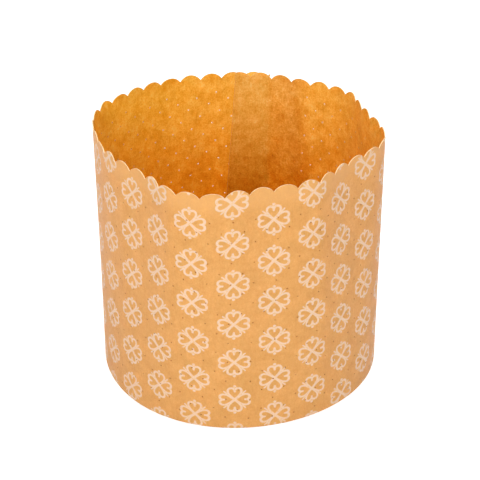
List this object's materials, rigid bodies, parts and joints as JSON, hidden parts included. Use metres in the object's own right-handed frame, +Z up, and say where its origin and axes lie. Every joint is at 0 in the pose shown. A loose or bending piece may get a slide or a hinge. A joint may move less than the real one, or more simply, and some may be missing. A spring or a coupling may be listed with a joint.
{
  "type": "round paper baking mold",
  "caption": "Round paper baking mold with a scalloped rim, a lapped side seam and a glued-in round base, for tall sweet breads.",
  "frame": {"origin": "centre of the bounding box, on the surface that the mold stands on", "axes": "+Z up through the open top, -Y towards the front of the picture, the lapped seam at +Y"},
  "size_m": [0.0988, 0.1032, 0.0911],
  "materials": {
    "wall_paper": "golden brown baking paper with a pale printed rosette pattern, satin outside and glossier inside",
    "base_paper": "golden brown baking paper, satin"
  },
  "bodies": {
    "root": {"side_wall": "wall_paper", "base_disc": "base_paper"}
  },
  "joints": []
}
